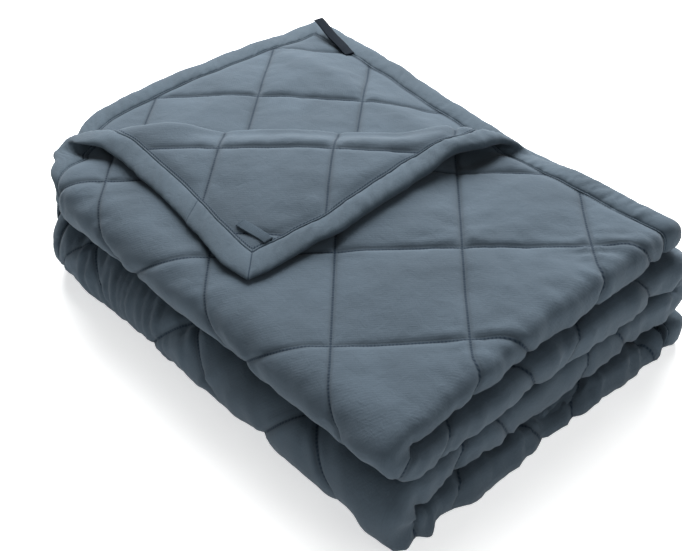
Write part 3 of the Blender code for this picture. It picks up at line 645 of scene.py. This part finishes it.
def build_binding(material):
    """One folded tape round all four edges, mitred at the corners."""
    section = list(BINDING_SECTION) + [(a, -half) for a, half in reversed(BINDING_SECTION[:-1])]
    inset, half = np.array(section).T
    corners = ((0.0, -UNDER_HALF), (LENGTH, -UNDER_HALF), (LENGTH, TOP_HALF), (0.0, TOP_HALF))
    u, v, along, inward = [], [], [], []
    trip = 0.0
    for k in range(4):
        (u0, v0), (u1, v1) = corners[k], corners[(k + 1) % 4]
        run = math.hypot(u1 - u0, v1 - v0)
        du, dv = (u1 - u0) / run, (v1 - v0) / run
        count = int(round(run / TAPE_STEP))
        for m in range(count):
            t = run * m / count
            # towards a corner the section swings round to the mitre
            tt = t * (run - 2.0 * inset) / run + inset
            u.append(u0 + du * tt - dv * inset)
            v.append(v0 + dv * tt + du * inset)
            along.append(trip + t)
            inward.append((-dv, du))
        trip += run
    u, v, inward = np.array(u), np.array(v), np.array(inward)
    along = np.broadcast_to(np.array(along)[:, None], u.shape)
    across, n = np.broadcast_to(inset, u.shape), np.broadcast_to(half, u.shape)
    puff = np.clip(np.abs(n) / 0.0070, 0.0, 1.0)
    swell = np.where(n >= 0.0, tape_puckers(along, across, 51), tape_puckers(along, across, 58))
    middle = np.sin(np.clip(across / 0.0275, 0.0, 1.0) * math.pi) ** 0.5
    tuck = (np.exp(-((across - TUCK_INSET) / TUCK_HALF) ** 2)
            * (ripple(along / 0.0060, 1.7, 61) + 0.7 * ripple(along / 0.0120, 4.1, 62)))
    soft = middle * puff * (PUCKER_DEPTH * swell + PUFF_DEPTH * ripple(along / 0.045, 0.3, 53))
    n = n + np.sign(n) * (soft + TUCK_DEPTH * tuck)
    gap = np.minimum(np.abs(along - MITRE_AT), np.abs(along - JOIN_AT - JOIN_SLANT * across))
    n = n * (1.0 - JOINT_DIP * middle * np.exp(-(gap / JOINT_HALF) ** 2))
    stray = 0.0
    for size, pitch, line, seed in STRAYS:
        stray = stray + size * ripple(along / pitch, line, seed)
    stray = stray * (1.0 - np.clip(across / 0.026, 0.0, 1.0))
    u, v = u + stray * inward[:, :1], v + stray * inward[:, 1:]
    ids = np.arange(u.size).reshape(u.shape)
    nxt = np.roll(ids, -1, axis=0)
    right = np.roll(ids, -1, axis=1)
    both = np.roll(nxt, -1, axis=1)
    faces = np.concatenate([np.stack([ids, nxt, both], -1).reshape(-1, 3),
                            np.stack([ids, both, right], -1).reshape(-1, 3)])
    verts = place(u.ravel(), v.ravel(), n.ravel())
    uv = np.stack([along.ravel(), across.ravel()], 1)
    band = mesh_object("edge_tape", verts, faces, uv, material)
    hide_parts("edge_binding")


# ---- the loops
LOOPS = {
    # sewn end and free end (u, v), rise of the free end, width, thickness of the tape, slit between its plies
    "front_loop": ((0.0312, 0.5297), (0.0702, 0.5368), 0.0004, 0.0102, 0.0011, 0.0014),
    "back_loop": ((0.0325, -0.5110), (0.0215, -0.5900), 0.0300, 0.0124, 0.0012, 0.0014),
}
LOOP_STEPS, BEND_STEPS = 28, 8
TAPE_SEAT_TO, TAPE_SEAT = 0.031, 0.0062  # over the binding a loop sits this far off the middle surface
LOOP_GAP, SLIT_LEAST = 0.0006, 0.0003
LOOP_ROUND, LOOP_FLAT = 0.42, 0.08  # its tape's section, in thicknesses


def build_loop(name, node, material):
    """A tape folded on itself, sewn down at one end."""
    (u0, v0), (u1, v1), rise, width, ply, slit = LOOPS[name]
    run = math.hypot(u1 - u0, v1 - v0)
    du, dv = (u1 - u0) / run, (v1 - v0) / run
    t = np.linspace(0.0, 1.0, LOOP_STEPS)
    a = t * run
    uu, vv = u0 + du * a, v0 + dv * a
    seat = np.where(inset_of(uu, vv) < TAPE_SEAT_TO, TAPE_SEAT, cover_height(uu, vv, -1) + LOOP_GAP)
    seat = np.convolve(np.pad(seat, 2, mode="edge"), np.ones(5) / 5.0, mode="valid")
    seat = np.maximum.accumulate(seat) + rise * t * t
    top = seat + 2.0 * ply + slit * np.sin(np.clip(t * 1.15, 0.0, 1.0) * math.pi) ** 0.7 + SLIT_LEAST
    # the middle line of the tape: out along the cloth, round the free end and back
    line = list(zip(a, seat + 0.5 * ply))
    middle, half = 0.5 * (seat[-1] + top[-1]), 0.5 * (top[-1] - seat[-1])
    for k in range(1, BEND_STEPS):
        angle = math.pi * k / BEND_STEPS
        line.append((run + half * math.sin(angle), middle - half * math.cos(angle)))
    line = np.array(line + list(zip(a[::-1], top[::-1] - 0.5 * ply)))
    tangent = np.gradient(line, axis=0)
    tangent /= np.linalg.norm(tangent, axis=1)[:, None]
    normal = np.stack([-tangent[:, 1], tangent[:, 0]], 1)
    # its section, with rounded corners
    ring = []
    radius = LOOP_ROUND * ply
    for sx, sn, start in ((-1, -1, math.pi), (1, -1, 1.5 * math.pi), (1, 1, 0.0), (-1, 1, HALF_PI)):
        for k in range(3):
            angle = start + HALF_PI * k / 2
            ring.append((sx * (0.5 * width - radius) + radius * math.cos(angle),
                         sn * LOOP_FLAT * ply + radius * math.sin(angle)))
    ring = np.array(ring)
    m, w = len(line), len(ring)
    side, lift = ring[:, 0][None, :], ring[:, 1][None, :]
    aa = line[:, 0][:, None] + normal[:, 0][:, None] * lift
    nn = line[:, 1][:, None] + normal[:, 1][:, None] * lift
    u = u0 + du * aa - dv * side
    v = v0 + dv * aa + du * side
    verts = place(u.ravel(), v.ravel(), -nn.ravel())
    ids = np.arange(m * w).reshape(m, w)
    faces = []
    for i in range(m - 1):
        for j in range(w):
            k = (j + 1) % w
            faces.append((ids[i, j], ids[i, k], ids[i + 1, k]))
            faces.append((ids[i, j], ids[i + 1, k], ids[i + 1, j]))
    for j in range(1, w - 1):
        faces.append((ids[0, 0], ids[0, j + 1], ids[0, j]))
        faces.append((ids[-1, 0], ids[-1, j], ids[-1, j + 1]))
    uv = np.stack([np.repeat(np.arange(m) * 0.0015, w), np.tile(ring[:, 0], m)], 1)
    loop = mesh_object(name, verts, np.array(faces), uv, material)
    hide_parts(node)
    return loop


# ---- finishes
STITCHES = {
    # stitch colour (thread, and on the quilting also painted shadow in the stitch line) full to, gone from
    # (off the row's line), length of a stitch, how much it beats, its mean
    "quilting": (0.0005, 0.0015, 0.0034 * math.sqrt(2.0), 0.22, 0.62),
    "rim": (0.0004, 0.0012, 0.0036, 0.30, 0.55),
    "tape": (0.0003, 0.0010, 0.0034, 0.22, 0.72),
}
RIM_STITCHES = 0.0319  # a row beside the tape, in from the edge
# painted shade: the cover cloth's colour is darkened within a few millimetres of each line of quilting,
# standing in for the shade in its grooves; full to, gone from, and how much it darkens
PAINTED_SHADE_FULL, PAINTED_SHADE_GONE, PAINTED_SHADE_DEPTH = 0.0004, 0.0042, -0.28
QUILTED_RIB, TAPE_RIB = 0.0037, 0.0020  # pitch of the weave's rib
RIB_RELIEF, SLUB_RELIEF, RUMPLE_RELIEF = 0.07, 0.35, 2.6
QUILTED_STITCH_RELIEF, TAPE_STITCH_RELIEF = -1.6, -1.2


def new_material(name, settings):
    """A material with its shader set: the material, its node tree and its shader."""
    mat = bpy.data.materials.new(name)
    mat.use_nodes = True
    shader = mat.node_tree.nodes["Principled BSDF"]
    for key, value in settings.items():
        shader.inputs[key].default_value = value
    return mat, mat.node_tree, shader


def calc(tree, kind, *values):
    """One step of arithmetic on sockets and numbers."""
    node = tree.nodes.new("ShaderNodeMath")
    node.operation = kind
    for k, value in enumerate(values):
        if isinstance(value, (int, float)):
            node.inputs[k].default_value = value
        else:
            tree.links.new(value, node.inputs[k])
    return node.outputs[0]


def away(tree, value, line):
    """Distance of a value from a line."""
    return calc(tree, "ABSOLUTE", calc(tree, "SUBTRACT", value, line))


def span(tree, value, *ends):
    """A value carried from one range to another and held there: from low, from high, to low, to high."""
    node = tree.nodes.new("ShaderNodeMapRange")
    for key, number in zip(("From Min", "From Max", "To Min", "To Max"), ends):
        node.inputs[key].default_value = number
    tree.links.new(value, node.inputs["Value"])
    return node.outputs[0]


def noise(tree, vector, settings):
    """Soft noise over a vector."""
    node = tree.nodes.new("ShaderNodeTexNoise")
    for key, value in settings.items():
        node.inputs[key].default_value = value
    tree.links.new(vector, node.inputs["Vector"])
    return node.outputs["Fac"]


def tinted(tree, colour, shade):
    """A colour made lighter or darker by a shade."""
    base = tree.nodes.new("ShaderNodeMix")
    base.data_type = "RGBA"
    base.blend_type = "MULTIPLY"
    base.inputs["Factor"].default_value = 1.0
    base.inputs["A"].default_value = (*colour, 1.0)
    level = tree.nodes.new("ShaderNodeCombineColor")
    for k in range(3):
        tree.links.new(shade, level.inputs[k])
    tree.links.new(level.outputs[0], base.inputs["B"])
    return base.outputs["Result"]


def relief(tree, shader, height, strength, distance):
    """Raise the shading by a height."""
    bump = tree.nodes.new("ShaderNodeBump")
    bump.inputs["Strength"].default_value = strength
    bump.inputs["Distance"].default_value = distance
    tree.links.new(height, bump.inputs["Height"])
    tree.links.new(bump.outputs["Normal"], shader.inputs["Normal"])


def stitches(tree, off, along, kind):
    """How much of the stitch colour covers a place (thread, and on the quilting also painted shadow in the
    stitch line), by its distance off the row and its place along it.
    """
    full, gone, pitch, beat, mean = STITCHES[kind]
    wave = calc(tree, "SINE", calc(tree, "MULTIPLY", along, 2.0 * math.pi / pitch))
    return calc(tree, "MULTIPLY", span(tree, off, full, gone, 1.0, 0.0),
                calc(tree, "MULTIPLY_ADD", wave, beat, mean))


def quilting_lines(tree, cu, cv):
    """Stitch colour on the cover cloth (thread, with painted shadow along the stitch lines), and the painted
    shade that darkens the cloth beside its seams.
    """
    du, dv = calc(tree, "SUBTRACT", cu, CROSS_U), calc(tree, "SUBTRACT", cv, CROSS_V)
    threads_and_shadow, painted_shades = [], []
    to_cells = 1.0 / (math.sqrt(2.0) * POCKET_SIDE)
    for across, along in (("ADD", "SUBTRACT"), ("SUBTRACT", "ADD")):
        cell = calc(tree, "MULTIPLY", calc(tree, across, du, dv), to_cells)
        off = calc(tree, "MULTIPLY", away(tree, cell, calc(tree, "ROUND", cell)), POCKET_SIDE)
        threads_and_shadow.append(stitches(tree, off, calc(tree, along, du, dv), "quilting"))
        # painted shade beside the seam, where its groove lies in shade
        painted_shades.append(span(tree, off, PAINTED_SHADE_FULL, PAINTED_SHADE_GONE, 1.0, 0.0))
    rim = tree.nodes.new("ShaderNodeAttribute")
    rim.attribute_name = "inset"
    from_row = away(tree, rim.outputs["Fac"], RIM_STITCHES)
    beside = stitches(tree, from_row, calc(tree, "ADD", cu, cv), "rim")
    return (calc(tree, "MAXIMUM", calc(tree, "MAXIMUM", *threads_and_shadow), beside),
            calc(tree, "MAXIMUM", *painted_shades))


def tape_lines(tree, cu, cv):
    """Thread on the tape: its row of stitches, the mitre at the turned corner and the slanting join."""
    row = stitches(tree, away(tree, cv, TAPE_STITCHES), cu, "tape")
    mitre = away(tree, cu, MITRE_AT)
    join = away(tree, calc(tree, "MULTIPLY_ADD", cv, -JOIN_SLANT, cu), JOIN_AT)
    joint = calc(tree, "MINIMUM", mitre, calc(tree, "ADD", join, 0.0003))
    return calc(tree, "MAXIMUM", row, span(tree, joint, 0.0003, 0.0013, 0.75, 0.0))


def cotton(name, colour, thread, quilted):
    """Woven cotton with its stitches: the quilted cover cloth, or else the binding."""
    mat, tree, shader = new_material(name, {"Roughness": 0.92, "Specular IOR Level": 0.18,
                                            "Sheen Weight": 0.05, "Sheen Roughness": 0.55})
    uv = tree.nodes.new("ShaderNodeUVMap")
    uv.uv_map = "flat"
    split = tree.nodes.new("ShaderNodeSeparateXYZ")
    tree.links.new(uv.outputs["UV"], split.inputs[0])
    cu, cv = split.outputs[0], split.outputs[1]
    stretch = tree.nodes.new("ShaderNodeMapping")
    stretch.inputs["Scale"].default_value = (260.0, 1400.0, 1.0)
    tree.links.new(uv.outputs["UV"], stretch.inputs["Vector"])
    where = tree.nodes.new("ShaderNodeTexCoord").outputs["Object"]

    cloud = noise(tree, where, {"Scale": 14.0, "Detail": 3.0})
    slub = noise(tree, stretch.outputs["Vector"], {"Scale": 1.0, "Detail": 2.0})
    rumple = noise(tree, where, {"Scale": 95.0, "Detail": 4.0, "Roughness": 0.62, "Distortion": 0.6})
    shade = calc(tree, "MULTIPLY", span(tree, cloud, 0.3, 0.7, 0.90, 1.09),
                 span(tree, slub, 0.25, 0.75, 0.94, 1.06))

    # the weave's fine rib, its slubs, and soft small creases over the whole cloth
    across_rib = calc(tree, "SUBTRACT", cu, cv) if quilted else cu
    pitch = QUILTED_RIB if quilted else TAPE_RIB
    rib = calc(tree, "SINE", calc(tree, "MULTIPLY", across_rib, 2.0 * math.pi / pitch))
    height = calc(tree, "MULTIPLY", rib, RIB_RELIEF)
    height = calc(tree, "ADD", height, calc(tree, "MULTIPLY", slub, SLUB_RELIEF))
    height = calc(tree, "ADD", height, calc(tree, "MULTIPLY", rumple, RUMPLE_RELIEF))

    if quilted:
        thread_and_shadow, seam_painted_shade = quilting_lines(tree, cu, cv)
        # the painted shade darkens the cloth's colour near the seams
        shade = calc(tree, "MULTIPLY", shade, calc(tree, "MULTIPLY_ADD", seam_painted_shade, PAINTED_SHADE_DEPTH, 1.0))
        sunk = calc(tree, "MULTIPLY", thread_and_shadow, QUILTED_STITCH_RELIEF)
    else:
        thread_and_shadow = tape_lines(tree, cu, cv)
        sunk = calc(tree, "MULTIPLY", thread_and_shadow, TAPE_STITCH_RELIEF)
    # the stitch colour is laid over the cloth: thread, and on the quilting also painted shadow along the
    # stitch lines
    stitched = tree.nodes.new("ShaderNodeMix")
    stitched.data_type = "RGBA"
    tree.links.new(thread_and_shadow, stitched.inputs["Factor"])
    tree.links.new(tinted(tree, colour, shade), stitched.inputs["A"])
    stitched.inputs["B"].default_value = (*thread, 1.0)
    tree.links.new(stitched.outputs["Result"], shader.inputs["Base Color"])
    relief(tree, shader, calc(tree, "ADD", height, sunk), 0.55, 0.0005)
    return mat


def tape(name, colour):
    """Narrow woven tape."""
    mat, tree, shader = new_material(name, {"Roughness": 0.92, "Specular IOR Level": 0.12})
    uv = tree.nodes.new("ShaderNodeUVMap")
    uv.uv_map = "flat"
    weave = tree.nodes.new("ShaderNodeTexWave")
    weave.inputs["Scale"].default_value = 420.0
    weave.inputs["Distortion"].default_value = 1.5
    tree.links.new(uv.outputs["UV"], weave.inputs["Vector"])
    shade = span(tree, weave.outputs["Fac"], 0.0, 1.0, 0.75, 1.15)
    tree.links.new(tinted(tree, colour, shade), shader.inputs["Base Color"])
    relief(tree, shader, weave.outputs["Fac"], 0.5, 0.0003)
    return mat


# ---- the add-on
WHITE = (1.0, 1.0, 1.0, 1.0)
FLOOR_FINISH = {"Base Color": (0.80, 0.81, 0.81, 1.0), "Roughness": 0.9, "Emission Color": WHITE,
                "Emission Strength": 0.60, "Specular IOR Level": 0.0}
ROOM_LIGHT = 0.14
LIGHTS = (
    # name, place, aim, size, power
    ("back_softbox", (-1.38, 1.39, 1.88), (0.0, 0.0, 0.1), (2.6, 2.1), 244.0),
    ("end_fill", (2.0, 0.1, 1.6), (0.0, 0.0, 0.1), (1.8, 1.8), 13.0),
    ("side_fill", (-0.9, -1.9, 0.7), (-0.05, -0.2, 0.02), (1.6, 0.9), 5.0),
)
CAMERA_AT = (0.80043, -0.72518, 0.94904)  # in the folds' own frame
CAMERA_DOWN, CAMERA_TURN = 40.0, 137.45  # degrees below the horizon, and from +X
SENSOR_WIDTH = 36.0


class BlanketLook(bpy.types.PropertyGroup):
    """Colours a user would change."""
    cotton: FloatVectorProperty(
        name="Cotton", description="Colour of the quilted cover cloth and the front tie loop",
        subtype="COLOR", size=3, min=0.0, max=1.0, default=(0.058, 0.081, 0.104))
    binding: FloatVectorProperty(
        name="Binding", description="Colour of the edge tape",
        subtype="COLOR", size=3, min=0.0, max=1.0, default=(0.056, 0.079, 0.101))
    # the stitch colour is near black: on the quilting it paints the thread together with the shadow in its
    # stitch lines
    thread: FloatVectorProperty(
        name="Thread", description="Colour of the stitches and of the tape's joints",
        subtype="COLOR", size=3, min=0.0, max=1.0, default=(0.0, 0.010, 0.025))
    dark_tape: FloatVectorProperty(
        name="Dark tape", description="Colour of the back tie loop",
        subtype="COLOR", size=3, min=0.0, max=1.0, default=(0.004, 0.008, 0.014))


class BlanketStage(bpy.types.PropertyGroup):
    """Floor and camera."""
    floor_side: FloatProperty(
        name="Floor side", description="Side of the plain floor",
        subtype="DISTANCE", unit="LENGTH", default=40.0, min=2.0)
    lens: FloatProperty(
        name="Lens", description="Focal length on a 36 mm wide sensor, in millimetres",
        default=67.57, min=10.0)


class BLANKET_OT_body(bpy.types.Operator):
    """Make the quilted body and fold it"""
    bl_idname = "blanket.body"
    bl_label = "Quilted body"
    bl_options = {"REGISTER", "UNDO"}

    def execute(self, context):
        look = context.scene.blanket_look
        build_body(cotton("quilted_cotton", look.cotton, look.thread, True))
        return {"FINISHED"}


class BLANKET_OT_binding(bpy.types.Operator):
    """Sew the folded tape round all four edges"""
    bl_idname = "blanket.binding"
    bl_label = "Edge binding"
    bl_options = {"REGISTER", "UNDO"}

    def execute(self, context):
        look = context.scene.blanket_look
        build_binding(cotton("binding_cotton", look.binding, look.thread, False))
        return {"FINISHED"}


class BLANKET_OT_loops(bpy.types.Operator):
    bl_idname = "blanket.loops"
    bl_label = "Tie loops"
    bl_options = {"REGISTER", "UNDO"}

    def execute(self, context):
        look = context.scene.blanket_look
        front = build_loop("front_loop", "loop_front", tape("grey_tape", look.cotton))
        back = build_loop("back_loop", "loop_back", tape("dark_tape", look.dark_tape))
        return {"FINISHED"}


def facing(direction):
    """Rotation that looks along a direction, with Y up."""
    return direction.to_track_quat("-Z", "Y").to_euler()


def area_light(name, place_at, aim, size, power):
    """A white rectangular light turned towards its aim."""
    data = bpy.data.lights.new(name, "AREA")
    data.shape = "RECTANGLE"
    data.size, data.size_y = size
    data.energy = power
    lamp = bpy.data.objects.new(name, data)
    lamp.location = place_at
    lamp.rotation_euler = facing(mathutils.Vector(aim) - mathutils.Vector(place_at))
    bpy.context.scene.collection.objects.link(lamp)


class BLANKET_OT_stage(bpy.types.Operator):
    """Set the pale floor, the soft light and the camera"""
    bl_idname = "blanket.stage"
    bl_label = "Floor, light and camera"
    bl_options = {"REGISTER", "UNDO"}

    def execute(self, context):
        scene = context.scene
        stage = scene.blanket_stage
        bpy.ops.object.select_all(action="DESELECT")
        bpy.ops.mesh.primitive_plane_add(size=stage.floor_side, location=(0.0, 0.0, 0.0))
        floor = bpy.context.object
        floor.name = "floor"
        floor.data.materials.append(new_material("pale_floor", FLOOR_FINISH)[0])
        world = bpy.data.worlds.new("soft_room")
        world.use_nodes = True
        room = world.node_tree.nodes["Background"]
        room.inputs["Color"].default_value = WHITE
        room.inputs["Strength"].default_value = ROOM_LIGHT
        scene.world = world
        for row in LIGHTS:
            area_light(*row)
        cam = bpy.data.cameras.new("camera")
        cam.lens = stage.lens
        cam.sensor_width = SENSOR_WIDTH
        cam.clip_end = 50.0
        view = bpy.data.objects.new("camera", cam)
        scene.collection.objects.link(view)
        down, turn = math.radians(CAMERA_DOWN), math.radians(CAMERA_TURN)
        view.location = mathutils.Vector(CAMERA_AT) + mathutils.Vector(TO_CENTRE)
        view.rotation_euler = facing(mathutils.Vector((
            math.cos(down) * math.cos(turn), math.cos(down) * math.sin(turn), -math.sin(down))))
        scene.camera = view
        scene.view_settings.view_transform = "Standard"
        scene.view_settings.look = "None"
        return {"FINISHED"}


class BLANKET_PT_panel(bpy.types.Panel):
    """Sidebar panel that lists the steps"""
    bl_idname = "BLANKET_PT_panel"
    bl_label = "Throw blanket"
    bl_space_type = "VIEW_3D"
    bl_region_type = "UI"
    bl_category = "Blanket"

    def draw(self, context):
        column = self.layout.column()
        for step in STEPS:
            column.operator(step.bl_idname)
        for group in (context.scene.blanket_look, context.scene.blanket_stage):
            for key in group.bl_rna.properties.keys():
                if key not in ("rna_type", "name"):
                    column.prop(group, key)


STEPS = (BLANKET_OT_body, BLANKET_OT_binding, BLANKET_OT_loops, BLANKET_OT_stage)
CLASSES = (BlanketLook, BlanketStage) + STEPS + (BLANKET_PT_panel,)


def register():
    """Add the classes and their settings."""
    for cls in CLASSES:
        bpy.utils.register_class(cls)
    bpy.types.Scene.blanket_look = PointerProperty(type=BlanketLook)
    bpy.types.Scene.blanket_stage = PointerProperty(type=BlanketStage)


def unregister():
    """Take the settings and classes away again."""
    del bpy.types.Scene.blanket_look
    del bpy.types.Scene.blanket_stage
    for cls in reversed(CLASSES):
        bpy.utils.unregister_class(cls)


def main():
    """Build every piece and the stage."""
    register()
    bpy.ops.blanket.body()
    bpy.ops.blanket.binding()
    bpy.ops.blanket.loops()
    bpy.ops.blanket.stage()


if __name__ == "__main__":
    main()
